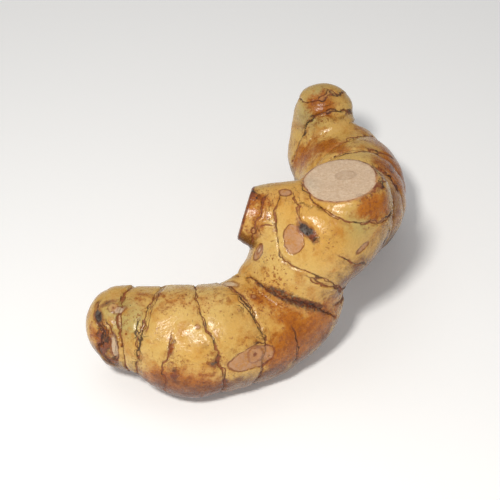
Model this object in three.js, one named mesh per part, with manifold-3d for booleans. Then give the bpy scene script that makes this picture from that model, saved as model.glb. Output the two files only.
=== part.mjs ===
// A galangal rhizome as it is dug, with the stem cut off: one grown piece of five lobes,
// resting on its own flattened underside. Millimetres, +Z up, origin at the middle of the
// footprint, on the surface that it rests on.
import * as THREE from "three";
import { mergeVertices } from "three/addons/utils/BufferGeometryUtils.js";
import Module from "manifold-3d";

const SIDES = 36; // facets round a lobe
const STATION_STEP = 3.2; // distance between cross-sections along a lobe
const CAP_ROWS = 6; // cross-sections in each rounded end
const SWELLING = 1.1; // how far the skin swells between two leaf scars
const SWELLING_POWER = 2.6; // how abruptly the skin draws in at a leaf scar

// Each spine point is [x, y, z, girth], from the older end of the lobe to the younger one.
// A cap is the length of a rounded end, in radii. Leaf scars are distances along the spine.
// A cut is a plane across the lobe: a point on it and the way its face looks.
const LOBES = {
  arm: {
    spine: [
      [-43.7, -42, 18.5, 11.4],
      [-38.7, -42.3, 18, 12.6],
      [-31.2, -44, 17.2, 14.4],
      [-19.7, -46.6, 16.6, 16],
      [-8.2, -44.6, 16.6, 16],
      [3.8, -39, 15.8, 15.4],
      [13.3, -32.4, 15.8, 14.8],
    ],
    startCap: 0.9,
    endCap: 0.95,
    scars: [7, 14, 28, 43, 56],
  },
  riser: {
    spine: [
      [8.8, -35.5, 19, 13.2],
      [11.4, -32, 26, 15.4],
      [16.8, -27, 35, 16.8],
      [24, -22.6, 44, 16.6],
      [27.8, -20.2, 51, 14.2],
      [27, -18, 58, 11],
      [26.6, -16.6, 62, 10.2],
    ],
    startCap: 0.9,
    endCap: 0.5,
    scars: [4, 17, 38],
    cut: { point: [27, -18, 58], facing: [-0.08, 0.2, 0.977] },
  },
  back: {
    spine: [
      [31.8, -7, 29, 11.5],
      [35.8, 10, 23, 15],
      [36, 27, 18, 16.8],
      [33.4, 41, 17.4, 16.8],
    ],
    startCap: 0.9,
    endCap: 0.95,
    scars: [10, 24, 40],
  },
  shoot: {
    spine: [
      [23.8, 46, 17, 12],
      [24.2, 51, 26, 11.2],
      [25.2, 51.4, 34, 10],
      [25.6, 51.6, 38, 9.6],
    ],
    startCap: 0.9,
    endCap: 0.75,
    scars: [8, 15],
  },
  stub: {
    spine: [
      [14.8, -22.8, 44.5, 12.4],
      [6.8, -21.6, 46, 11],
      [-1.2, -22, 48.4, 8.2],
      [-5.2, -21.8, 49.5, 7.2],
    ],
    startCap: 0.8,
    endCap: 0.4,
    scars: [9],
    cut: { point: [-2.2, -22, 48.6], facing: [-0.96, 0.19, 0.21] },
  },
};

// The surface that it rests on, which presses the underside flat.
const REST = { point: [0, 0, 0], facing: [0, 0, -1] };
const CUTTER_SIZE = 400;

const wasm = await Module();
wasm.setup();

// The share of full swelling at a distance along a lobe: none at a scar, all of it midway.
function swellingAt(distance, scars, length) {
  const edges = [0, ...scars, length];
  const next = Math.max(1, edges.findIndex((edge) => edge >= distance));
  const [low, high] = [edges[next - 1], edges[next]];
  const across = (2 * (distance - low)) / (high - low) - 1;
  return 1 - Math.abs(across) ** SWELLING_POWER;
}

// The cross-sections of a lobe: centre, sideways axes and radius, with both ends rounded.
function sectionsOf({ spine, startCap, endCap, scars }) {
  const middle = new THREE.CatmullRomCurve3(
    spine.map(([x, y, z]) => new THREE.Vector3(x, y, z)),
    false,
    "catmullrom",
    0.5,
  );
  const girth = new THREE.CatmullRomCurve3(
    spine.map((point) => new THREE.Vector3(point[3], 0, 0)),
    false,
    "catmullrom",
    0.5,
  );
  const length = middle.getLength();
  const steps = Math.round(length / STATION_STEP);
  const { tangents, normals, binormals } = middle.computeFrenetFrames(steps);
  const stations = [];
  for (let i = 0; i <= steps; i++) {
    const along = i / steps;
    const radius = girth.getPoint(middle.getUtoTmapping(along)).x;
    stations.push({
      centre: middle.getPointAt(along),
      along: tangents[i],
      across: [normals[i], binormals[i]],
      radius: radius + SWELLING * swellingAt(along * length, scars, length),
    });
  }
  const rounded = (station, reach, angle) => ({
    ...station,
    centre: station.centre
      .clone()
      .addScaledVector(station.along, reach * station.radius * Math.cos(angle)),
    radius: station.radius * Math.sin(angle),
  });
  const capAngles = [];
  for (let i = 0; i < CAP_ROWS; i++) capAngles.push((i / CAP_ROWS) * (Math.PI / 2));
  const start = capAngles.map((angle) => rounded(stations[0], -startCap, angle));
  const end = capAngles.map((angle) => rounded(stations.at(-1), endCap, angle));
  return [...start, ...stations, ...end.reverse()];
}

// A closed skin over the cross-sections. The first and the last one are single points.
function skinOver(sections) {
  const positions = [];
  const place = ({ centre, across, radius }, angle) => {
    const point = centre
      .clone()
      .addScaledVector(across[0], radius * Math.cos(angle))
      .addScaledVector(across[1], radius * Math.sin(angle));
    positions.push(...point);
  };
  place(sections[0], 0);
  const rings = sections.slice(1, -1);
  for (const section of rings)
    for (let side = 0; side < SIDES; side++)
      place(section, (side / SIDES) * 2 * Math.PI);
  place(sections.at(-1), 0);

  const triangles = [];
  const vertex = (ring, side) => 1 + ring * SIDES + (side % SIDES);
  const last = positions.length / 3 - 1;
  for (let side = 0; side < SIDES; side++) {
    triangles.push(0, vertex(0, side + 1), vertex(0, side));
    for (let ring = 0; ring < rings.length - 1; ring++) {
      const [a, b] = [vertex(ring, side), vertex(ring, side + 1)];
      const [c, d] = [vertex(ring + 1, side + 1), vertex(ring + 1, side)];
      triangles.push(a, b, c, a, c, d);
    }
    const top = rings.length - 1;
    triangles.push(last, vertex(top, side), vertex(top, side + 1));
  }
  const skin = new THREE.BufferGeometry();
  skin.setAttribute("position", new THREE.Float32BufferAttribute(positions, 3));
  skin.setIndex(triangles);
  return skin;
}

function toSolid(geometry) {
  return new wasm.Manifold(
    new wasm.Mesh({
      numProp: 3,
      vertProperties: new Float32Array(geometry.getAttribute("position").array),
      triVerts: new Uint32Array(geometry.index.array),
    }),
  );
}

// A block that takes away all that lies in front of a plane.
function cutterFor({ point, facing }) {
  const block = new THREE.BoxGeometry(CUTTER_SIZE, CUTTER_SIZE, CUTTER_SIZE);
  const turn = new THREE.Quaternion().setFromUnitVectors(
    new THREE.Vector3(0, 0, 1),
    new THREE.Vector3(...facing).normalize(),
  );
  block.translate(0, 0, CUTTER_SIZE / 2).applyQuaternion(turn).translate(...point);
  block.deleteAttribute("normal");
  block.deleteAttribute("uv");
  return toSolid(mergeVertices(block));
}

function lobeSolid(lobe) {
  const whole = toSolid(skinOver(sectionsOf(lobe)));
  return lobe.cut ? whole.subtract(cutterFor(lobe.cut)) : whole;
}

function rhizomeGeometry() {
  const grown = Object.values(LOBES).map(lobeSolid).reduce((body, lobe) => body.add(lobe));
  const rested = grown.subtract(cutterFor(REST));
  const { vertProperties, triVerts } = rested.getMesh();
  const geometry = new THREE.BufferGeometry();
  geometry.setAttribute("position", new THREE.BufferAttribute(vertProperties, 3));
  geometry.setIndex(new THREE.BufferAttribute(triVerts, 1));
  const middle = new THREE.Vector3();
  geometry.computeBoundingBox();
  geometry.boundingBox.getCenter(middle);
  geometry.translate(-middle.x, -middle.y, 0);
  geometry.computeVertexNormals();
  return geometry;
}

const skin = new THREE.MeshStandardMaterial({ color: 0xc4924a, roughness: 0.35, metalness: 0 });
const rhizome = new THREE.Mesh(rhizomeGeometry(), skin);
rhizome.name = "rhizome";

const root = new THREE.Group();
root.add(rhizome);

export default root;
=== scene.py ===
"""A galangal rhizome, as dug, with its stem cut off, lying on a pale floor."""

import math

import bmesh
import bpy
import numpy as np
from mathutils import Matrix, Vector


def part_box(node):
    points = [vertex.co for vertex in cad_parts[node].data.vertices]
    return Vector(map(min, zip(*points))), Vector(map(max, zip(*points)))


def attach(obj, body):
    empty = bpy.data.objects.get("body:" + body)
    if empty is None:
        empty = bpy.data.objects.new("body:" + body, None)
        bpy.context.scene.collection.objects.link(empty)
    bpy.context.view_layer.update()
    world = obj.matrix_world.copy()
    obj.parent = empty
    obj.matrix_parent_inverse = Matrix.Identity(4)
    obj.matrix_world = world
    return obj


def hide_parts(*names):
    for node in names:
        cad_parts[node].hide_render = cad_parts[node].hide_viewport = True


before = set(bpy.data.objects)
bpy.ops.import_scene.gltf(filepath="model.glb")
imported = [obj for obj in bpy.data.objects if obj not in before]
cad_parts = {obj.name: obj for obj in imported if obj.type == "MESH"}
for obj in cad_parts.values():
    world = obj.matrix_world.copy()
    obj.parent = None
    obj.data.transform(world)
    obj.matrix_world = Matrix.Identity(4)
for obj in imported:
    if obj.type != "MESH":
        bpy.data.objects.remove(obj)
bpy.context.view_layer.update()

# ---- Shape: millimetres, in the frame's own axes ---------------------------------------

SAMPLE_STEP = 0.3  # distance between the samples of a spine
BLEND = 2.2  # how far two lobes melt into each other


def unit(vectors):
    vectors = np.asarray(vectors, float)
    return vectors / np.maximum(np.linalg.norm(vectors, axis=-1, keepdims=True), 1e-9)


def smooth_step(low, high, value):
    share = np.clip((value - low) / (high - low), 0, 1)
    return share * share * (3 - 2 * share)


def soft_min(a, b, reach):
    share = np.clip(0.5 + 0.5 * (b - a) / reach, 0, 1)
    return b + (a - b) * share - reach * share * (1 - share)


def soft_max(a, b, reach):
    return -soft_min(-a, -b, reach)


def smooth_curve(points, per_span=40):
    """A Catmull-Rom curve through the points, evenly sampled by its first three columns."""
    points = np.array(points, float)
    ends = np.vstack([2 * points[0] - points[1], points, 2 * points[-1] - points[-2]])
    share = np.linspace(0, 1, per_span, endpoint=False)[:, None]
    spans = []
    for a, b, c, d in zip(ends, ends[1:], ends[2:], ends[3:]):
        spans.append(
            0.5
            * (
                2 * b
                + (c - a) * share
                + (2 * a - 5 * b + 4 * c - d) * share**2
                + (3 * b - a - 3 * c + d) * share**3
            )
        )
    dense = np.vstack([*spans, points[-1:]])
    steps = np.linalg.norm(np.diff(dense[:, :3], axis=0), axis=1)
    along = np.concatenate([[0], np.cumsum(steps)])
    even = np.linspace(0, along[-1], max(2, round(along[-1] / SAMPLE_STEP)) + 1)
    return np.stack([np.interp(even, along, column) for column in dense.T], 1), even


class Lobe:
    """A round body along a spine of [x, y, z, girth] points."""

    def __init__(self, spine, zero, caps=(0.9, 0.9), cut=None):
        samples, self.along = smooth_curve(spine)
        self.centre, self.girth = samples[:, :3], samples[:, 3]
        self.tangent = unit(np.gradient(self.centre, axis=0))
        across = np.array(zero) - (self.tangent @ np.array(zero))[:, None] * self.tangent
        self.zero = unit(across)
        self.quarter = np.cross(self.tangent, self.zero)
        self.caps, self.cut = caps, cut

    def place(self, points):
        """Each point's distance along the spine, distance from it, and angle round it."""
        nearest = np.empty(len(points), int)
        for start in range(0, len(points), 20000):
            part = points[start : start + 20000]
            gap = (self.centre**2).sum(1) - 2 * part @ self.centre.T
            nearest[start : start + 20000] = gap.argmin(1)
        away = points - self.centre[nearest]
        tangent = self.tangent[nearest]
        beyond = (away * tangent).sum(1)
        along = self.along[nearest] + beyond
        away = away - beyond[:, None] * tangent
        angle = np.arctan2(
            (away * self.quarter[nearest]).sum(1), (away * self.zero[nearest]).sum(1)
        )
        return along, np.linalg.norm(away, axis=1), angle

    def distance(self, along, out, radius):
        """How far a point at that place lies outside a lobe of that radius."""
        before = np.maximum(-along, 0) / self.caps[0]
        after = np.maximum(along - self.along[-1], 0) / self.caps[1]
        return np.hypot(out, before + after) - radius


LOBES = {
    "main": Lobe(
        [
            [-43.7, -42, 18.5, 12.2],
            [-38.7, -42.3, 18, 13.4],
            [-31.2, -44, 17.2, 15.2],
            [-19.7, -46.6, 16.6, 16.9],
            [-8.2, -44.6, 16.6, 16.9],
            [3.8, -39, 16, 16.2],
            [11.6, -32.8, 20, 15.8],
            [12.9, -29.8, 29, 15.4],
            [17.2, -26.4, 37.5, 16.3],
            [24, -22.6, 44.5, 17.3],
            [27.8, -20.2, 51, 15],
            [26.8, -17.8, 58, 12.3],
            [26.6, -16.6, 63, 10.6],
        ],
        zero=(0, -0.743, 0.669),
        caps=(0.8, 0.5),
        cut=([27, -18, 58.4], [-0.16, 0.1, 0.98]),
    ),
    "stub": Lobe(
        [
            [14.8, -22.8, 44.5, 13.2],
            [6.8, -21.6, 45.3, 11.2],
            [-1.2, -22, 47.4, 9],
            [-5.2, -21.8, 48.4, 8.2],
        ],
        zero=(0, -0.743, 0.669),
        caps=(0.8, 0.4),
        cut=([-2.8, -22, 48.6], [-0.96, 0.19, 0.21]),
    ),
    "back": Lobe(
        [
            [31.8, -7, 29, 12.2],
            [35.8, 10, 23, 15.8],
            [36, 27, 18, 17.8],
            [32.5, 40.6, 16.4, 16.6],
        ],
        zero=(0, 0, 1),
        caps=(0.9, 0.95),
    ),
    "shoot": Lobe(
        [
            [24.4, 46, 17, 12.2],
            [25, 50.8, 26, 10.4],
            [25.5, 51.8, 34, 9.9],
            [25.8, 52, 37, 9.7],
        ],
        zero=(0, -1, 0),
        caps=(0.9, 0.75),
    ),
}
BLENDS = {"stub": 2.5, "back": 0.8, "shoot": 4.5}


class Ring:
    """A leaf scar: where it crosses each angle of its lobe, and how it looks."""

    def __init__(self, at, tilt=(0, 0), wave=(0, 0), tone=0.5, width=0.45, step=0.3, seen=None):
        self.at, self.tilt, self.wave = at, tilt, wave
        self.tone, self.width, self.step, self.seen = tone, width, step, seen

    def where(self, angle):
        return (
            self.at
            + self.tilt[0] * np.cos(angle)
            + self.tilt[1] * np.sin(angle)
            + self.wave[0] * np.cos(2 * angle)
            + self.wave[1] * np.sin(2 * angle)
        )

    def strength(self, angle):
        if self.seen is None:
            return np.ones_like(angle)
        middle, half = self.seen
        away = np.abs((angle - middle + math.pi) % (2 * math.pi) - math.pi)
        return 1 - smooth_step(half - 0.15, half + 0.15, away)


RINGS = {
    "main": [
        Ring(5.0, (-1.6, 2.4), (-1.2, 0.5), tone=0.3, width=0.5, step=0.7),
        Ring(11.4, (-0.2, 0.1), (-0.2, 0.1), tone=0.4, width=0.35),
        Ring(13.0, (-0.1, -0.1), (-0.1, 0.1), tone=0.3, width=0.3, step=0.15, seen=(-0.8, 0.75)),
        Ring(20.8, (0.1, 0.0), (0.0, 0.0), tone=0.3, width=0.35, step=0.15, seen=(0.6, 0.75)),
        Ring(28.9, (0.6, 2.3), (0.4, 0.5), tone=0.4, width=0.4, step=0.35),
        Ring(39.1, (1.5, 1.6), (0.9, 0.1), tone=0.4, width=0.45, step=0.45),
        Ring(51.0, (0.8, -1.0), (0.5, -0.1), tone=0.6, width=0.45, step=0.2, seen=(0.7, 0.45)),
        Ring(66.6, (0.6, -2.2), (0.4, -0.2), tone=0.3, width=0.35, step=0.5, seen=(math.pi, 2.2)),
        Ring(76.3, (0.6, -0.7), (0.4, -0.1), tone=0.4, width=0.45, step=0.5, seen=(2.2, 2.0)),
        Ring(101.7, (-2.1, -2.8), (-1.2, -0.4), tone=0.3, width=0.4, step=0.3, seen=(math.pi, 1.2)),
    ],
    "stub": [
        Ring(1.9, (-0.5, 2.0), (-0.4, 0.7), tone=0.4, width=0.4, step=0.2, seen=(math.pi, 1.6)),
        Ring(12.4, (0.6, -0.7), (0.4, -0.2), tone=0.3, width=0.4, step=0.4, seen=(math.pi, 1.2)),
    ],
    "back": [
        Ring(8.0, (0.4, -0.6), tone=0.5, width=0.5),
        Ring(18.6, (0.5, -0.9), (0.3, -0.2), tone=0.5, width=0.7),
        Ring(27.0, (1.6, 0.8), (1.0, 0.4), tone=0.5, width=0.55),
        Ring(41.3, (-0.2, 6.1), (-0.1, 2.3), tone=0.4, width=0.4),
    ],
    "shoot": [
        Ring(25.2, (2.6, 2.2), (0.2, 0.0), tone=0.5, width=0.5),
    ],
}


def lobe_distance(name, points):
    lobe = LOBES[name]
    along, out, angle = lobe.place(points)
    girth = np.interp(along, lobe.along, lobe.girth)
    distance = lobe.distance(along, out, girth)
    if lobe.cut:
        point, facing = np.array(lobe.cut[0]), unit(lobe.cut[1])
        distance = soft_max(distance, (points - point) @ facing, 0.8)
    return distance, along, angle


def body_distance(points):
    """How far each point lies outside the rhizome, and which lobe is nearest to it."""
    distance, along, angle = lobe_distance("main", points)
    nearest = np.zeros(len(points), int)
    best, body = distance.copy(), distance
    for index, (name, blend) in enumerate(BLENDS.items(), 1):
        other, other_along, other_angle = lobe_distance(name, points)
        closer = other < best
        nearest[closer] = index
        along[closer], angle[closer] = other_along[closer], other_angle[closer]
        best = np.minimum(best, other)
        body = soft_min(body, other, blend)
    return soft_max(body, -points[:, 2], 0.6), nearest, along, angle
# ---- Mesh ---------------------------------------------------------------------------

MM = 0.001
VOXEL = 0.52 * MM
FAR = 3.0  # the furthest that a line's distance is kept, in millimetres
SWELLING = 0.9
NAMES = list(LOBES)


def waves(points, size, seed, count=14):
    """Smooth lumps between about -1 and 1, of roughly that size."""
    rng = np.random.default_rng(seed)
    ways = unit(rng.normal(size=(count, 3))) * rng.uniform(0.7, 1.4, (count, 1))
    phases = rng.uniform(0, 2 * math.pi, count)
    return np.sin(points @ ways.T * (2 * math.pi / size) + phases).sum(1) / math.sqrt(count)


def normals_of(points, reach=0.25):
    ways = np.eye(3) * reach
    slope = [body_distance(points + way)[0] - body_distance(points - way)[0] for way in ways]
    return unit(np.stack(slope, 1))


def ring_lines(points, lobe, along, angle):
    """Signed distance to the nearest leaf scar, its weight, tone and width, and the swelling."""
    count = len(points)
    nearest = np.full(count, FAR)
    weight, tone, width = np.zeros(count), np.zeros(count), np.full(count, 0.4)
    step, swelling = np.zeros(count), np.zeros(count)
    wobble = 0.35 * waves(points, 7.0, 5) + 0.15 * waves(points, 2.6, 6)
    for index, name in enumerate(NAMES):
        mine = np.where(lobe == index)[0]
        low = np.full(len(mine), -4.0)
        high = np.full(len(mine), LOBES[name].along[-1] + 4.0)
        for ring in RINGS[name]:
            away = along[mine] - ring.where(angle[mine]) + wobble[mine]
            strength = ring.strength(angle[mine])
            closer = (np.abs(away) < np.abs(nearest[mine])) & (strength > 0.02)
            chosen = mine[closer]
            nearest[chosen] = away[closer]
            weight[chosen] = strength[closer] * (1 - smooth_step(1.5, FAR, np.abs(away[closer])))
            tone[chosen], width[chosen] = ring.tone, ring.width
            step[chosen] = ring.step * strength[closer]
            if ring.seen is None:
                at = along[mine] - away
                low = np.where(away >= 0, np.maximum(low, at), low)
                high = np.where(away < 0, np.minimum(high, at), high)
        span = np.maximum(high - low, 1)
        across = 2 * (along[mine] - low) / span - 1
        swelling[mine] = (1 - np.clip(np.abs(across), 0, 1) ** 2.6) * np.clip(span / 14, 0, 1)
    return nearest, weight, tone, width, step, swelling


class Crease:
    """A line on the skin through a few points, with how dark, wide and deep it is."""

    def __init__(self, *route, tone=0.4, width=0.4, step=0.3, fade=2.0):
        self.samples, self.along = smooth_curve(route)
        self.tone, self.width, self.step, self.fade = tone, width, step, fade

    def near(self, points, normals):
        """The points near it, with their signed distance from it along the skin."""
        low, high = self.samples.min(0) - FAR, self.samples.max(0) + FAR
        near = np.where(((points > low) & (points < high)).all(1))[0]
        gaps = points[near][:, None] - self.samples[None]
        nearest = (gaps**2).sum(2).argmin(1)
        away = gaps[np.arange(len(near)), nearest]
        up = normals[near]
        depth = (away * up).sum(1)
        away = away - depth[:, None] * up
        tangent = unit(np.gradient(self.samples, axis=0))[nearest]
        side = np.where((np.cross(tangent, up) * away).sum(1) < 0, -1.0, 1.0)
        along = self.along[nearest]
        strength = smooth_step(0, self.fade, np.minimum(along, self.along[-1] - along) + 0.5)
        kept = np.abs(depth) < FAR
        return near[kept], (side * np.linalg.norm(away, axis=1))[kept], strength[kept]


CREASES = [
    # The scar where an older part broke away, at the old end.
    Crease([-47.5, -42, 29.5], [-49.5, -46.5, 27], [-48.5, -49, 26.5], [-46.5, -52, 25],
           [-47, -53, 21.5], [-48.5, -52.5, 18], [-46, -53, 14], [-43, -53, 12.5],
           tone=0.9, width=1.0, step=0.8),
    Crease([-45, -48.5, 28], [-43.5, -52, 25.5], [-42, -54, 22], [-42, -54.8, 18], [-44, -54, 15],
           tone=0.5, width=0.6, step=0.6),
    # The black, curling edge beside the second leaf scar.
    Crease([-34.5, -50.5, 30], [-36, -53, 28.4], [-35.2, -54.8, 27], [-34.4, -56.2, 25.2],
           [-35, -57.5, 22.5], [-36.2, -58, 19.5], tone=1.0, width=0.5, step=0.3),
    # The dark second edge of the scar over the low pink patch, and its curl.
    Crease([-5, -44, 33.2], [-2.2, -47.4, 32.7], [0.4, -51.4, 30.1], [2, -54, 27.5],
           tone=0.8, width=0.4, step=0.2),
    Crease([3, -54, 26.6], [3.8, -56, 24.2], [1.6, -56.4, 25.2], [-0.5, -57, 25.2],
           tone=0.7, width=0.4, step=0.1),
    # The scar across the elbow, torn, and the one under the knob.
    Crease([-6, -34, 31], [-1, -37, 34], [5.5, -42.5, 34], [9.5, -45, 33.5], [14, -46, 32],
           [20, -45, 29], [25.5, -40.5, 20], tone=0.5, width=0.5, step=0.6),
    Crease([8.5, -23, 57], [7, -26.5, 56], [6.5, -31.5, 51.5], [7, -34.5, 48.5],
           [8.5, -38.8, 44.8], [11.3, -41, 43.4], [17.3, -43, 41.5], [21.7, -43.1, 39.1],
           [26, -41.6, 34.3], [28, -38, 28], tone=0.35, width=0.5, step=0.5),
    Crease([12, -23, 57.5], [12.5, -26.5, 57], [13.5, -30, 56.5], [14.6, -34, 54.4],
           tone=0.3, width=0.4),
    # The stub's own scars.
    Crease([4.5, -22, 57], [3, -26.5, 56], [1.5, -29.5, 53.5], [0.5, -31, 49.5],
           [-0.5, -30.5, 43.5], tone=0.2, width=0.6, step=0.4),
    Crease([2, -31, 50.5], [4, -31.4, 51], [6, -31.5, 51], tone=0.4, width=0.5, step=0.1, fade=1),
    # The scars round the knob.
    Crease([14.5, -18, 57.5], [15.5, -23, 58], [17, -26.5, 57.5], [19.5, -29, 57],
           [24, -33.5, 56.5], [31.5, -34.5, 54.5], [39, -30.5, 52.5], [42, -25, 51.5],
           [42.5, -17, 52], tone=0.4, width=0.45, step=0.5),
    Crease([31, -29, 59], [35, -27, 59.4], [38.2, -22.5, 59], [39, -17, 58.4], [37, -12, 57.8],
           tone=0.5, width=0.9, step=0.2),
    Crease([25, -40.5, 47], [28, -40, 45], [31.5, -38.5, 42], [35, -35, 38.5],
           tone=0.4, width=0.35, step=0.2),
    # The crease where the back lobe leaves the knob.
    Crease([44.5, -8, 27], [45, -6.5, 31], [46, -1, 32], [45.5, 2.5, 34], tone=1.0, width=0.6,
           step=0.4),
    # The shoot's foot, and the scars and bands of the back lobe.
    Crease([36, 49.5, 34.5], [30, 43, 40.5], [26, 42, 40.5], [21.5, 42, 37.5],
           [18.5, 42.5, 34], [16, 42, 28.5], [14.5, 40, 23], [14, 38.5, 18],
           tone=0.6, width=0.8, step=0.6),
    Crease([41.5, 41.5, 33], [37, 36.5, 35], [33, 34, 35], [30, 30.5, 34.5],
           tone=0.3, width=0.45, step=0.3),
    Crease([29.5, 22.5, 35], [33, 23.5, 36], [38.5, 24.5, 36], [45, 27.5, 33.5],
           [49.5, 29, 29.5], tone=0.5, width=0.7, step=0.4),
    Crease([40, 15, 37.5], [43.5, 13.5, 36.5], [47, 12.5, 34], [49, 7.5, 31],
           tone=0.5, width=0.8, step=0.4),
]


def add_creases(points, normals, lines):
    """Puts the creases among the leaf scars wherever a crease is the nearer line."""
    nearest, weight, tone, width, step = lines
    wobble = 0.3 * waves(points, 5.0, 8) + 0.15 * waves(points, 2.2, 9)
    for crease in CREASES:
        near, away, strength = crease.near(points, normals)
        away = away + wobble[near]
        closer = (np.abs(away) < np.abs(nearest[near]) + 0.3 * (1 - weight[near]) * FAR) & (
            np.abs(away) < FAR
        )
        chosen, away, strength = near[closer], away[closer], strength[closer]
        nearest[chosen] = away
        weight[chosen] = strength * (1 - smooth_step(1.5, FAR, np.abs(away)))
        tone[chosen], width[chosen] = crease.tone, crease.width
        step[chosen] = crease.step * strength


def remeshed(node):
    """An evenly meshed copy of a CAD node."""
    piece = bpy.data.objects.new("source", node.data.copy())
    bpy.context.scene.collection.objects.link(piece)
    remesh = piece.modifiers.new("even", "REMESH")
    remesh.mode, remesh.voxel_size = "VOXEL", VOXEL
    depsgraph = bpy.context.evaluated_depsgraph_get()
    mesh = bpy.data.meshes.new_from_object(piece.evaluated_get(depsgraph))
    bpy.data.objects.remove(piece)
    return mesh


def relax(points, edges, rounds):
    """Moves each point to the middle of its neighbours."""
    ends = np.concatenate([edges, edges[:, ::-1]])
    count = np.bincount(ends[:, 0], minlength=len(points))[:, None]
    for _ in range(rounds):
        total = np.stack(
            [np.bincount(ends[:, 0], points[ends[:, 1], i], len(points)) for i in range(3)], 1
        )
        points = 0.5 * points + 0.5 * total / count
    return points


def settle(points, edges):
    """Lays the points on the grown shape."""
    for _ in range(3):
        points = relax(points, edges, 2)
        points = points - body_distance(points)[0][:, None] * normals_of(points)
    return points


def write(mesh, name, values):
    attribute = mesh.attributes.new(name, "FLOAT", "POINT")
    attribute.data.foreach_set("value", np.asarray(values, np.float32))


# Marks: the middle of each, its half lengths, the way its longer one runs, in millimetres.
PALE_MARKS = [
    ([-0.2, -59.0, 21.0], (7.8, 3.7), (1.0, 0.43, -0.05)),
    ([11.8, -36.8, 49.8], (4.4, 3.2), (0.2, -0.55, -0.7)),
    ([2.2, -32.6, 41.8], (2.8, 1.5), (0.1, 0.0, 1.0)),
    ([33.6, -36.4, 46.6], (2.4, 0.9), (0.8, 0.5, 0.3)),
    ([9.6, -22.8, 57.5], (2.2, 1.3), (1.0, -0.6, 0.0)),
]
WHITE_MARKS = [
    ([-7.6, -37.5, 31.8], (3.0, 1.0), (0.8, -0.7, 0.3)),
    ([-42.8, -53.6, 20.5], (4.6, 1.1), (0.1, -0.2, -1.0)),
    ([-16.9, -55.3, 31.1], (0.5, 0.4), (1.0, 0.0, 0.0)),
    ([2.2, -32.6, 41.8], (1.5, 0.6), (0.1, 0.0, 1.0)),
    ([44.6, -9.0, 30.0], (4.0, 0.7), (0.2, 0.6, 1.0)),
    ([-41.5, -47.0, 30.5], (2.0, 1.0), (1.0, 0.2, 0.3)),
]
ROOT_SCARS = [
    ([0.6, -58.4, 22.0], 2.5),
    ([-43.4, -46.0, 30.0], 1.6),
    ([-16.9, -55.3, 31.1], 0.8),
    ([-0.1, -43.9, 32.5], 0.8),
    ([-4.6, -49.4, 32.4], 0.5),
]
DARK_MARKS = [
    ([15.6, -35.6, 53.0], (2.7, 1.5), (0.7, -0.4, -0.3)),
    ([-48.5, -47.0, 27.6], (3.4, 1.5), (0.5, -0.5, -0.5)),
    ([-45.6, -44.1, 30.0], (1.6, 0.6), (1.0, 0.3, 0.2)),
    ([-12.1, -62.1, 22.4], (1.2, 0.9), (1.0, 0.0, 0.0)),
    ([-0.1, -43.9, 32.5], (0.7, 0.5), (1.0, -0.4, 0.0)),
    ([14.0, -46.0, 32.2], (2.6, 0.6), (0.95, 0.0, -0.3)),
    ([18.5, -45.8, 30.6], (1.8, 0.6), (0.9, 0.1, -0.4)),
    ([42.9, -12.1, 29.2], (2.4, 1.4), (0.0, 0.3, 1.0)),
    ([-48.0, -52.8, 17.8], (1.6, 0.8), (0.4, -0.1, -1.0)),
]
BROWN_MARKS = [
    ([-46.9, -52.4, 21.5], (6.4, 2.9), (0.05, -0.1, -1.0)),
    ([-44.5, -53.8, 14.5], (3.2, 2.2), (0.8, -0.1, -0.5)),
    ([17.8, -37.6, 51.7], (2.2, 1.6), (0.8, -0.3, -0.5)),
    ([-25.0, -59.6, 25.0], (3.6, 0.9), (0.1, 0.2, 1.0)),
    ([-24.0, -62.6, 19.2], (2.0, 1.4), (0.1, 0.1, 1.0)),
    ([-0.5, -23.0, 57.0], (2.2, 1.8), (0.6, -0.6, 0.0)),
    ([47.5, 19.0, 33.5], (3.6, 1.6), (0.4, 1.0, -0.3)),
    ([48.5, 11.0, 32.0], (3.2, 1.2), (0.4, 1.0, -0.3)),
]
STAINS = [
    ([2.5, -43.5, 32.5], 5.5, 0.9),
    ([9.5, -46.5, 30.5], 5.0, 0.6),
    ([20.1, -46.3, 20.6], 8.5, 1.1),
    ([8.5, -54.6, 17.4], 8.0, 1.1),
    ([-4.0, -56.0, 26.5], 4.5, 0.5),
    ([-22.6, -63.1, 12.6], 10.0, 0.9),
    ([-14.0, -61.0, 12.0], 8.0, 0.9),
    ([-30.0, -59.0, 14.0], 7.0, 0.8),
    ([-14.9, -47.0, 33.5], 6.5, 0.55),
    ([-26.0, -45.0, 32.5], 7.0, 0.5),
    ([-36.0, -42.0, 31.0], 4.5, 0.6),
    ([37.5, -28.0, 56.0], 6.5, 1.1),
    ([32.5, -31.0, 57.5], 4.0, 0.5),
    ([33.0, -38.0, 40.0], 5.0, 0.45),
    ([25.3, 32.9, 34.2], 7.0, 1.0),
    ([17.8, 37.1, 24.3], 7.0, 1.0),
    ([31.0, 27.0, 36.0], 4.0, 0.5),
    ([7.0, -37.0, 40.0], 4.0, 0.4),
    ([1.5, -26.5, 56.0], 6.0, 0.9),
    ([-1.0, -29.0, 48.0], 5.0, 0.7),
    ([48.0, 18.0, 32.0], 9.0, 1.1),
    ([47.0, 34.0, 28.0], 9.0, 0.9),
    ([51.0, 22.0, 22.0], 10.0, 1.0),
    ([47.0, 0.0, 30.0], 8.0, 0.9),
    ([40.0, 42.0, 31.0], 5.0, 0.5),
    ([27.0, -41.0, 30.0], 8.0, 0.5),
    ([15.0, -52.0, 22.0], 8.0, 0.6),
    ([-47.0, -50.0, 21.0], 7.0, 0.9),
    ([26.0, 44.5, 42.5], 5.0, 1.0),
    ([19.0, 46.0, 42.0], 4.5, 0.7),
    ([24.0, 51.0, 47.0], 5.0, 0.6),
]
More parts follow.
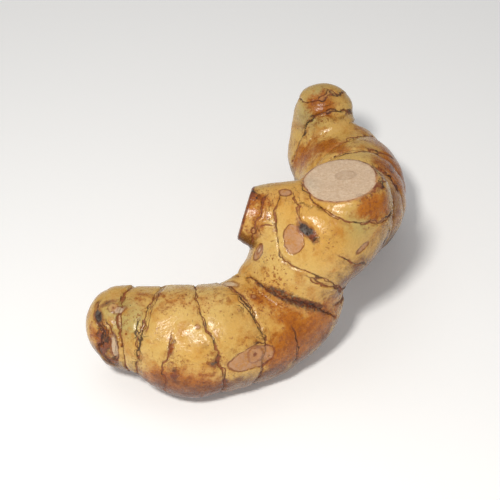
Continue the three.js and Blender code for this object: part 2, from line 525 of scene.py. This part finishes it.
# The share of freckles, the middle and the reach of each freckled place.
FRECKLED = [
    (1.0, [3.5, -43.0, 33.5], 6.0),
    (0.7, [8.0, -41.0, 38.0], 3.5),
    (0.6, [8.0, -56.0, 17.0], 7.0),
    (0.9, [-24.0, -62.0, 20.0], 5.0),
    (0.6, [-12.0, -62.0, 22.0], 5.0),
    (0.5, [36.0, -29.0, 57.0], 4.0),
    (0.8, [1.0, -25.0, 56.5], 6.0),
    (0.5, [-14.0, -46.0, 33.5], 7.0),
    (0.6, [8.0, -37.0, 42.0], 5.0),
    (0.6, [22.0, 40.0, 36.0], 8.0),
    (0.7, [-38.0, -50.0, 28.0], 6.0),
    (0.5, [28.0, -42.0, 30.0], 7.0),
]
GREEN_PARTS = [
    ([-42.0, -47.0, 30.0], 7.0),
    ([-37.0, -51.0, 28.0], 5.0),
    ([19.0, 44.0, 38.0], 6.0),
    ([24.0, 50.0, 46.5], 5.0),
    ([32.0, -33.0, 54.0], 6.0),
]


def mark_distance(points, normals, marks, seed):
    """Signed distance to the ragged edge of the nearest mark: negative inside."""
    edge = np.full(len(points), FAR)
    rough = 0.3 * waves(points, 8.0, seed) + 0.12 * waves(points, 2.5, seed + 10)
    for middle, (long, short), way in marks:
        away = points - np.array(middle)
        near = np.where((away**2).sum(1) < (2 * long + 4) ** 2)[0]
        up = normals[near[(away[near] ** 2).sum(1).argmin()]]
        first = unit(np.array(way) - up * np.dot(way, up))
        second = np.cross(up, first)
        share = np.hypot(away[near] @ first / long, away[near] @ second / short)
        gap = (share - 1) * short + rough[near] * min(1, short / 2)
        edge[near] = np.minimum(edge[near], gap)
    return np.clip(edge, -FAR, FAR)


# The torn skin of the old leaf sheath at the elbow: the middle of it, and half its width.
ROUGH_BAND = (
    [1.0, -39.0, 34.5, 0.6],
    [7.0, -43.6, 34.4, 1.5],
    [14.0, -46.0, 32.0, 1.7],
    [20.0, -45.0, 29.0, 1.1],
    [25.0, -41.0, 22.0, 0.4],
)


def band_distance(points):
    """Signed distance to the edge of the torn skin, negative on it."""
    edge = np.full(len(points), FAR)
    route = np.array(ROUGH_BAND)
    for start, end in zip(route, route[1:]):
        way = end[:3] - start[:3]
        share = np.clip(((points - start[:3]) @ way) / (way @ way), 0, 1)
        gap = np.linalg.norm(points - start[:3] - share[:, None] * way, axis=1)
        edge = np.minimum(edge, gap - (start[3] + share * (end[3] - start[3])))
    return edge


def stele_distance(points):
    """Distance from the middle of the stem's inner core, where 1 is its faint ring."""
    lobe = LOBES["main"]
    away = points - np.array(STELE_MIDDLE)
    facing = unit(lobe.cut[1])
    away = away - (away @ facing)[:, None] * facing
    return np.hypot(away[:, 0] / STELE_SIZE[0], away[:, 1] / STELE_SIZE[1])


STELE_MIDDLE = (28.6, -16.2, 58.0)
STELE_SIZE = (3.1, 2.4)


UNSEEN_ROOTS = 18  # root scars on the back and the underside


def spread(points, middle, reach):
    return np.exp(-((points - np.array(middle)) ** 2).sum(1) / reach**2)


def rim_distance(points):
    """Signed distance to the rim of the cut stem, negative on the cut face."""
    lobe = LOBES["main"]
    point, facing = np.array(lobe.cut[0]), unit(lobe.cut[1])
    along, out, _ = lobe.place(points)
    depth = (points - point) @ facing
    girth = np.interp(along, lobe.along, lobe.girth)
    return np.clip(np.maximum(out - girth + 0.75, -depth - 0.75), -FAR, FAR)


def stub_rim_distance(points):
    lobe = LOBES["stub"]
    point, facing = np.array(lobe.cut[0]), unit(lobe.cut[1])
    along, out, _ = lobe.place(points)
    depth = (points - point) @ facing
    near = out < np.interp(along, lobe.along, lobe.girth) + 3
    return np.where(near, np.clip(-depth - 0.75, -FAR, FAR), FAR)


def make_rhizome():
    mesh = remeshed(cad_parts["rhizome"])
    points = np.empty(len(mesh.vertices) * 3, np.float32)
    mesh.vertices.foreach_get("co", points)
    points = points.reshape(-1, 3).astype(float) / MM
    edges = np.empty(len(mesh.edges) * 2, np.int32)
    mesh.edges.foreach_get("vertices", edges)
    points = settle(points, edges.reshape(-1, 2))
    normals = normals_of(points)
    _, lobe, along, angle = body_distance(points)
    *lines, swelling = ring_lines(points, lobe, along, angle)
    add_creases(points, normals, lines)
    line, weight, tone, width, step = lines

    pale = mark_distance(points, normals, PALE_MARKS, 21)
    dark = mark_distance(points, normals, DARK_MARKS, 22)
    brown = mark_distance(points, normals, BROWN_MARKS, 23)
    white = mark_distance(points, normals, WHITE_MARKS, 24)
    root = np.full(len(points), FAR)
    rng = np.random.default_rng(31)
    hidden = np.where((normals[:, 2] < 0.1) & (points[:, 2] > 3) & (points[:, 1] > -50))[0]
    unseen = [(points[at], rng.uniform(0.7, 1.7)) for at in rng.choice(hidden, UNSEEN_ROOTS)]
    for middle, radius in ROOT_SCARS + unseen:
        share = np.linalg.norm(points - np.array(middle), axis=1) / radius
        root = np.minimum(root, share)
    rim, stub_rim = rim_distance(points), stub_rim_distance(points)
    stain_and_low_shade = sum(share * spread(points, middle, reach) for middle, reach, share in STAINS)
    green = sum(spread(points, middle, reach) for middle, reach in GREEN_PARTS)

    # Painted shade: the skin is made more orange-brown the lower it lies, towards the floor.
    stain_and_low_shade += 0.3 * smooth_step(18, 2, points[:, 2])
    # Painted shade: skin that faces down, or lies low, is marked to be darkened to a deep brown.
    underside_shade = smooth_step(0.35, -0.6, normals[:, 2]) + 0.5 * smooth_step(12, 2, points[:, 2])
    skin = smooth_step(0.0, 1.5, np.minimum(rim, stub_rim)) * smooth_step(0, 2, points[:, 2])
    lift = SWELLING * (swelling - 0.4) + 0.3 * waves(points, 26.0, 1) + 0.12 * waves(points, 9.0, 2)
    lift += step * weight * (0.5 * np.exp(-(((line + 0.7) / 0.6) ** 2)) - np.exp(-((line / 0.5) ** 2)))
    lift *= skin
    lift -= 0.7 * spread(points, [15.6, -35.6, 53.0], 1.8)
    lift += 0.9 * spread(points, [-44.5, -51.5, 9.0], 4.5) - 1.5 * spread(points, [-38, -54.5, 9], 3.2)
    lift -= 0.5 * smooth_step(0.6, -0.6, brown) * spread(points, [-46.9, -52.4, 20.0], 8.0)
    lift += 2.6 * spread(points, [-3.5, -33.5, 31.5], 4.5)
    lift += 1.1 * spread(points, [-20.0, -62.0, 9.0], 9.0)
    lift -= 0.25 * smooth_step(0.4, -0.6, pale)
    lift += 0.35 * (1 - smooth_step(0.7, 1.2, root)) * np.clip(root, 0.3, 1)
    points += lift[:, None] * normals
    freckles = sum(share * spread(points, *place) for share, *place in FRECKLED)
    points[:, 2] = np.maximum(points[:, 2], 0)

    mesh.vertices.foreach_set("co", (points * MM).astype(np.float32).ravel())
    for name, values in {
        "line": line, "line_weight": weight, "line_tone": tone, "line_width": width,
        "pale": pale, "white": white, "dark": dark, "brown": brown, "root": root, "rim": rim,
        "stub_rim": stub_rim, "stain_and_low_shade": stain_and_low_shade, "rough_band": band_distance(points),
        "stele": stele_distance(points), "freckles": np.clip(freckles, 0, 1),
        "underside_shade": np.clip(underside_shade, 0, 1), "green": np.clip(green, 0, 1),
    }.items():
        write(mesh, name, values)
    mesh.polygons.foreach_set("use_smooth", np.ones(len(mesh.polygons), bool))
    mesh.materials.clear()
    mesh.materials.append(make_skin())
    piece = bpy.data.objects.new("rhizome_skin", mesh)
    bpy.context.scene.collection.objects.link(piece)
    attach(piece, "root")
    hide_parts("rhizome")
    print("rhizome faces", len(mesh.polygons))
    return piece


# ---- Material ------------------------------------------------------------------------


class Nodes:
    """Short ways to add and join shader nodes."""

    def __init__(self, name):
        self.material = bpy.data.materials.new(name)
        self.material.use_nodes = True
        self.tree = self.material.node_tree
        self.shader = self.tree.nodes["Principled BSDF"]
        self.place = self.add("ShaderNodeTexCoord").outputs["Object"]

    def add(self, kind, **settings):
        node = self.tree.nodes.new(kind)
        for key, value in settings.items():
            setattr(node, key, value)
        return node

    def join(self, value, socket):
        if isinstance(value, bpy.types.NodeSocket):
            self.tree.links.new(value, socket)
        else:
            socket.default_value = value

    def maths(self, operation, *values, clamp=False):
        node = self.add("ShaderNodeMath", operation=operation, use_clamp=clamp)
        for value, socket in zip(values, node.inputs):
            self.join(value, socket)
        return node.outputs[0]

    def value(self, name):
        return self.add("ShaderNodeAttribute", attribute_name=name).outputs["Fac"]

    def noise(self, size, detail=3.0, rough=0.55, warp=0.0, shift=0.0):
        """Noise about 0.5, whose patches are about that many millimetres wide."""
        node = self.add("ShaderNodeTexNoise", noise_dimensions="4D")
        self.join(self.place, node.inputs["Vector"])
        for key, value in {
            "W": shift, "Scale": 1 / (size * MM), "Detail": detail, "Roughness": rough,
            "Distortion": warp,
        }.items():
            node.inputs[key].default_value = value
        return node.outputs["Fac"]

    def band(self, value, low, high, to_low=0.0, to_high=1.0):
        """Smooth step from one value to another."""
        node = self.add("ShaderNodeMapRange", interpolation_type="SMOOTHSTEP")
        for item, key in zip((value, low, high, to_low, to_high), range(5)):
            self.join(item, node.inputs[key])
        return node.outputs["Result"]

    def mix(self, share, first, second, blend="MIX"):
        node = self.add("ShaderNodeMix", data_type="RGBA", blend_type=blend)
        for item, key in zip((share, first, second), (0, 6, 7)):
            if isinstance(item, tuple) and len(item) == 3:
                item = (*item, 1.0)
            self.join(item, node.inputs[key])
        return node.outputs[2]


def colour(red, green, blue):
    """The linear colour of a 0 to 255 screen colour."""
    return tuple(
        (v / 255 / 12.92) if v / 255 <= 0.04045 else ((v / 255 + 0.055) / 1.055) ** 2.4
        for v in (red, green, blue)
    )


OCHRE = colour(202, 154, 76)
PALE_OCHRE = colour(206, 170, 98)
DEEP_OCHRE = colour(176, 114, 36)
GREEN_OCHRE = colour(174, 158, 98)
ORANGE_BROWN = colour(168, 94, 16)
RUST = colour(134, 66, 18)
# Painted shade colour for the underside.
UNDERSIDE_SHADE_BROWN = colour(88, 42, 12)
RED_BROWN = colour(116, 56, 30)
LINE_BROWN = colour(132, 66, 34)
DARK_BROWN = colour(48, 24, 16)
GREY_BLACK = colour(46, 40, 38)
DARK_GREY = colour(84, 74, 66)
GREY_BROWN = colour(122, 98, 80)
PINK_BEIGE = colour(184, 132, 88)
PALE_PINK = colour(180, 134, 100)
CUT_BEIGE = colour(224, 204, 178)
CUT_SHADE = colour(198, 174, 146)


def make_skin():
    n = Nodes("rhizome_skin")
    coarse, middle, fine = n.noise(22, 2.0), n.noise(5, 5.0, 0.6, 0.4, 3.0), n.noise(0.9, 4.0, shift=7.0)
    grit = n.maths("SUBTRACT", n.noise(1.6, 3.0, 0.6, shift=11.0), 0.5)
    ragged = n.maths("MULTIPLY", grit, 1.3)
    stain_and_low_shade_value, freckled = n.value("stain_and_low_shade"), n.value("freckles")

    base = n.mix(n.band(coarse, 0.35, 0.65), OCHRE, PALE_OCHRE)
    base = n.mix(n.maths("MULTIPLY", n.value("green"), 0.8), base, GREEN_OCHRE)
    base = n.mix(n.band(middle, 0.48, 0.68, 0.0, 0.7), base, DEEP_OCHRE)

    cloud = n.maths("MULTIPLY", n.maths("SUBTRACT", n.noise(5, 6.0, 0.7, 0.6), 0.5), 2.2)
    # Orange-brown stains, with painted shade added low down near the floor.
    stain_and_low_shade = n.maths("ADD", stain_and_low_shade_value, cloud)
    base = n.mix(n.band(stain_and_low_shade, 0.3, 0.95, 0.0, 0.92), base, ORANGE_BROWN)
    blotch = n.maths("ADD", n.noise(2.2, 6.0, 0.75, 0.5, 41.0), n.maths("MULTIPLY", stain_and_low_shade, 0.1))
    base = n.mix(n.band(blotch, 0.59, 0.68, 0.0, 0.6), base, RUST)
    flecks = n.maths("ADD", n.noise(0.9, 4.0, 0.7, 0.4, 51.0), n.maths("MULTIPLY", freckled, 0.13))
    base = n.mix(n.band(flecks, 0.64, 0.69, 0.0, 0.85), base, RUST)

    crowd = n.maths("ADD", n.noise(7, 3.0, shift=19.0), n.maths("MULTIPLY", stain_and_low_shade_value, 0.2))
    crowd = n.maths("ADD", crowd, n.maths("MULTIPLY", freckled, 0.3))
    speckle = n.band(n.noise(0.7, 2.0, 0.5, shift=17.0), 0.6, 0.66)
    speckle = n.maths("MULTIPLY", speckle, n.band(crowd, 0.5, 0.74))
    base = n.mix(n.maths("MULTIPLY", speckle, 0.75), base, RUST)
    dots = n.band(n.noise(1.5, 3.0, 0.6, shift=43.0), 0.68, 0.72)
    dots = n.maths("MULTIPLY", dots, n.band(crowd, 0.46, 0.6))
    base = n.mix(n.maths("MULTIPLY", dots, 0.85), base, DARK_BROWN)

    brown = n.maths("ADD", n.value("brown"), n.maths("MULTIPLY", ragged, 2.2))
    crust = n.mix(n.band(n.noise(1.8, 5.0, 0.7, shift=61.0), 0.45, 0.65), RED_BROWN, ORANGE_BROWN)
    crust = n.mix(n.band(n.noise(2.4, 4.0, 0.7, shift=63.0), 0.5, 0.6), crust, DARK_BROWN)
    base = n.mix(n.band(brown, -0.8, 0.4, 0.95, 0.0), base, crust)

    # Painted shade: the underside and the lowest skin turn dark brown, broken up by the mottling cloud.
    shade = n.maths("ADD", n.value("underside_shade"), cloud)
    base = n.mix(n.band(shade, 0.0, 0.9, 0.0, 0.85), base, UNDERSIDE_SHADE_BROWN)
    weight, tone, width = n.value("line_weight"), n.value("line_tone"), n.value("line_width")
    line = n.maths("ABSOLUTE", n.maths("ADD", n.value("line"), n.maths("MULTIPLY", grit, 0.7)))
    parting = n.band(n.noise(5.0, 2.0, shift=23.0), 0.5, 0.62, 0.0, 1.0)
    strand = n.maths("ABSOLUTE", n.maths("SUBTRACT", line, n.maths("MULTIPLY", parting, width)))
    swelled = n.band(n.noise(2.0, 4.0, 0.65, shift=27.0), 0.35, 0.7, 0.25, 1.0)
    strand = n.maths("DIVIDE", strand, n.maths("MULTIPLY", width, swelled))
    core = n.maths("MULTIPLY", n.band(strand, 0.3, 1.2, 1.0, 0.0), weight)
    inside = n.maths("MULTIPLY", n.band(line, 0.2, 0.7, 0.35, 0.0), n.maths("MULTIPLY", weight, parting))
    base = n.mix(inside, base, PINK_BEIGE)
    halo = n.maths("MULTIPLY", n.band(line, 0.2, 2.0, 1.0, 0.0), weight)
    halo = n.maths("MULTIPLY", halo, n.band(n.noise(2.6, 5.0, 0.7, shift=29.0), 0.5, 0.62))
    base = n.mix(n.maths("MULTIPLY", halo, 0.6), base, RUST)
    dark_share = n.maths("ADD", n.noise(3.0, 4.0, 0.6, shift=24.0), n.maths("MULTIPLY", tone, 0.3))
    dark_share = n.band(dark_share, 0.58, 0.75)
    base = n.mix(n.maths("MULTIPLY", core, 0.88), base, n.mix(dark_share, LINE_BROWN, DARK_BROWN))

    band_edge = n.maths("ADD", n.value("rough_band"), n.maths("MULTIPLY", ragged, 2.0))
    streak = n.band(n.noise(1.0, 4.0, 0.7, 1.0, 47.0), 0.44, 0.56)
    bark = n.mix(streak, RUST, n.mix(n.band(fine, 0.4, 0.6), GREY_BLACK, GREY_BROWN))
    band_share = n.band(band_edge, -0.8, 0.8, 0.9, 0.0)
    band_share = n.maths("MULTIPLY", band_share, n.band(n.noise(2.4, 4.0, 0.7, shift=53.0), 0.34, 0.5))
    base = n.mix(band_share, base, bark)

    pale = n.maths("ADD", n.value("pale"), n.maths("MULTIPLY", ragged, 0.22))
    pale_rim = n.band(n.maths("ABSOLUTE", pale), 0.05, 0.4, 1.0, 0.0)
    pale_rim = n.maths("MULTIPLY", pale_rim, n.band(n.noise(2.4, 3.0, shift=57.0), 0.3, 0.5))
    base = n.mix(n.maths("MULTIPLY", pale_rim, 0.85), base, RED_BROWN)
    pale_face = n.mix(n.band(n.noise(1.6, 5.0, 0.7, shift=59.0), 0.42, 0.7), PALE_PINK, DEEP_OCHRE)
    base = n.mix(n.band(pale, -0.3, 0.0, 0.92, 0.0), base, pale_face)

    white = n.maths("ADD", n.value("white"), n.maths("MULTIPLY", ragged, 0.8))
    base = n.mix(n.band(n.maths("ABSOLUTE", white), 0.1, 0.5, 0.6, 0.0), base, RED_BROWN)
    base = n.mix(n.band(white, -0.5, 0.0, 0.85, 0.0), base, CUT_SHADE)

    dark = n.maths("ADD", n.value("dark"), n.maths("MULTIPLY", ragged, 1.6))
    base = n.mix(n.band(dark, 0.0, 0.9, 0.7, 0.0), base, RED_BROWN)
    base = n.mix(n.band(dark, -0.6, 0.0, 1.0, 0.0), base, n.mix(streak, DARK_BROWN, DARK_GREY))

    root = n.maths("ADD", n.value("root"), n.maths("MULTIPLY", grit, 0.9))
    root_rim = n.band(n.maths("ABSOLUTE", n.maths("SUBTRACT", root, 1.0)), 0.03, 0.25, 1.0, 0.0)
    base = n.mix(n.maths("MULTIPLY", root_rim, 0.5), base, RED_BROWN)
    base = n.mix(n.band(root, 0.7, 0.95, 0.55, 0.0), base, PINK_BEIGE)
    base = n.mix(n.band(root, 0.1, 0.35, 0.85, 0.0), base, RED_BROWN)

    rim, stub = n.value("rim"), n.value("stub_rim")
    edge = n.maths("ADD", rim, n.maths("MULTIPLY", ragged, 0.5))
    face = n.band(edge, -0.35, 0.0, 1.0, 0.0)
    flesh = n.mix(n.band(n.noise(0.7, 5.0, 0.7, shift=29.0), 0.35, 0.65), CUT_BEIGE, CUT_SHADE)
    flesh = n.mix(n.band(n.noise(4.0, 4.0, 0.6, shift=31.0), 0.45, 0.75, 0.0, 0.5), flesh, CUT_SHADE)
    stele = n.maths("ADD", n.value("stele"), n.maths("MULTIPLY", grit, 0.3))
    core_ring = n.band(n.maths("ABSOLUTE", n.maths("SUBTRACT", stele, 1.0)), 0.03, 0.2, 0.3, 0.0)
    flesh = n.mix(n.band(stele, 0.8, 1.0, 0.18, 0.0), flesh, GREY_BROWN)
    flesh = n.mix(core_ring, flesh, GREY_BROWN)
    flesh = n.mix(n.band(edge, -1.6, -0.2, 0.0, 0.35), flesh, PINK_BEIGE)
    rim_tint = n.mix(n.band(n.noise(3.0, 4.0, 0.7, shift=67.0), 0.45, 0.6), PINK_BEIGE, RED_BROWN)
    base = n.mix(n.band(n.maths("ABSOLUTE", edge), 0.1, 0.75, 0.95, 0.0), base, rim_tint)
    base = n.mix(face, base, flesh)
    stub_face = n.band(n.maths("ADD", stub, ragged), -0.2, 0.5, 1.0, 0.0)
    dried = n.mix(n.band(n.noise(2.0, 5.0, 0.7, shift=71.0), 0.4, 0.6), GREY_BROWN, CUT_SHADE)
    base = n.mix(stub_face, base, n.mix(n.band(stub, -0.7, -0.3, 0.6, 0.0), crust, dried))
    n.join(base, n.shader.inputs["Base Color"])

    rough = n.maths("ADD", n.band(fine, 0.3, 0.7, 0.17, 0.32), n.maths("MULTIPLY", core, 0.3))
    rough = n.maths("ADD", rough, n.maths("MULTIPLY", face, 0.45))
    rough = n.maths("ADD", rough, n.maths("MULTIPLY", band_share, 0.25))
    rough = n.maths("ADD", rough, n.maths("MULTIPLY", speckle, 0.2))
    rough = n.maths("ADD", rough, n.band(dark, -0.5, 0.3, 0.3, 0.0), clamp=True)
    n.join(rough, n.shader.inputs["Roughness"])

    height = n.maths("MULTIPLY", n.noise(1.3, 5.0, 0.6, 0.5, 31.0), 0.16)
    height = n.maths("SUBTRACT", height, n.maths("MULTIPLY", core, 0.22))
    height = n.maths("ADD", height, n.maths("MULTIPLY", n.noise(10, 4.0, 0.6, shift=37.0), 0.6))
    height = n.maths("SUBTRACT", height, n.maths("MULTIPLY", speckle, 0.06))
    height = n.maths("ADD", height, n.maths("MULTIPLY", n.maths("MULTIPLY", streak, band_share), 0.4))
    height = n.maths("ADD", height, n.band(brown, -0.8, 0.4, 0.3, 0.0))
    height = n.maths("SUBTRACT", height, n.maths("MULTIPLY", pale_rim, 0.1))
    bump = n.add("ShaderNodeBump")
    bump.inputs["Distance"].default_value = MM
    bump.inputs["Strength"].default_value = 1.0
    n.join(height, bump.inputs["Height"])
    n.join(bump.outputs["Normal"], n.shader.inputs["Normal"])
    n.shader.inputs["Specular IOR Level"].default_value = 0.42
    n.shader.inputs["Subsurface Weight"].default_value = 0.03
    n.shader.inputs["Subsurface Radius"].default_value = (0.003, 0.002, 0.001)
    n.shader.inputs["Subsurface Scale"].default_value = 0.5
    return n.material


# ---- Stage ---------------------------------------------------------------------------

CAMERA_RISE = math.radians(42)
CAMERA_DISTANCE = 0.45
LENS = 90
AIM = Vector((-0.0012, 0.014, 0))  # where the middle of the picture meets the floor


def aimed(thing, target):
    way = Vector(target) - thing.location
    thing.rotation_euler = way.to_track_quat("-Z", "Y").to_euler()


def add_light(name, place, target, size, power, tint=(1, 1, 1)):
    data = bpy.data.lights.new(name, "AREA")
    data.shape, data.size, data.energy, data.color = "DISK", size, power, tint
    lamp = bpy.data.objects.new(name, data)
    lamp.location = place
    aimed(lamp, target)
    bpy.context.scene.collection.objects.link(lamp)


def plain(name, tint, rough, glow=0.0):
    material = bpy.data.materials.new(name)
    material.use_nodes = True
    shader = material.node_tree.nodes["Principled BSDF"]
    shader.inputs["Base Color"].default_value = (*tint, 1)
    shader.inputs["Roughness"].default_value = rough
    shader.inputs["Emission Color"].default_value = (1, 1, 1, 1)
    shader.inputs["Emission Strength"].default_value = glow
    return material


def make_stage():
    scene = bpy.context.scene
    scene.view_settings.view_transform = "Standard"
    low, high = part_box("rhizome")
    middle = (low + high) / 2

    bpy.ops.mesh.primitive_plane_add(size=6, location=(0, 0, 0))
    floor = bpy.context.object
    floor.name = "floor"
    floor.data.materials.append(plain("pale_floor", (0.9, 0.9, 0.9), 0.8, glow=0.12))

    data = bpy.data.cameras.new("camera")
    data.lens, data.sensor_width = LENS, 36
    data.clip_start, data.clip_end = 0.01, 20
    camera = bpy.data.objects.new("camera", data)
    back = Vector((0, -math.cos(CAMERA_RISE), math.sin(CAMERA_RISE)))
    camera.location = AIM + back * CAMERA_DISTANCE
    aimed(camera, AIM)
    scene.collection.objects.link(camera)
    scene.camera = camera

    beside = camera.location + Vector((-0.10, 0.02, 0.12))
    add_light("key", beside, middle, 0.07, 2.05, (1, 0.97, 0.92))
    add_light("fill", middle + Vector((0.7, -0.2, 0.6)), middle, 0.6, 0.25)
    add_light("top", middle + Vector((-0.2, 0.4, 0.9)), middle, 0.9, 1.0)
    world = bpy.data.worlds.new("studio")
    world.use_nodes = True
    world.node_tree.nodes["Background"].inputs["Color"].default_value = (1, 1, 1, 1)
    world.node_tree.nodes["Background"].inputs["Strength"].default_value = 0.26
    scene.world = world


make_stage()
make_rhizome()
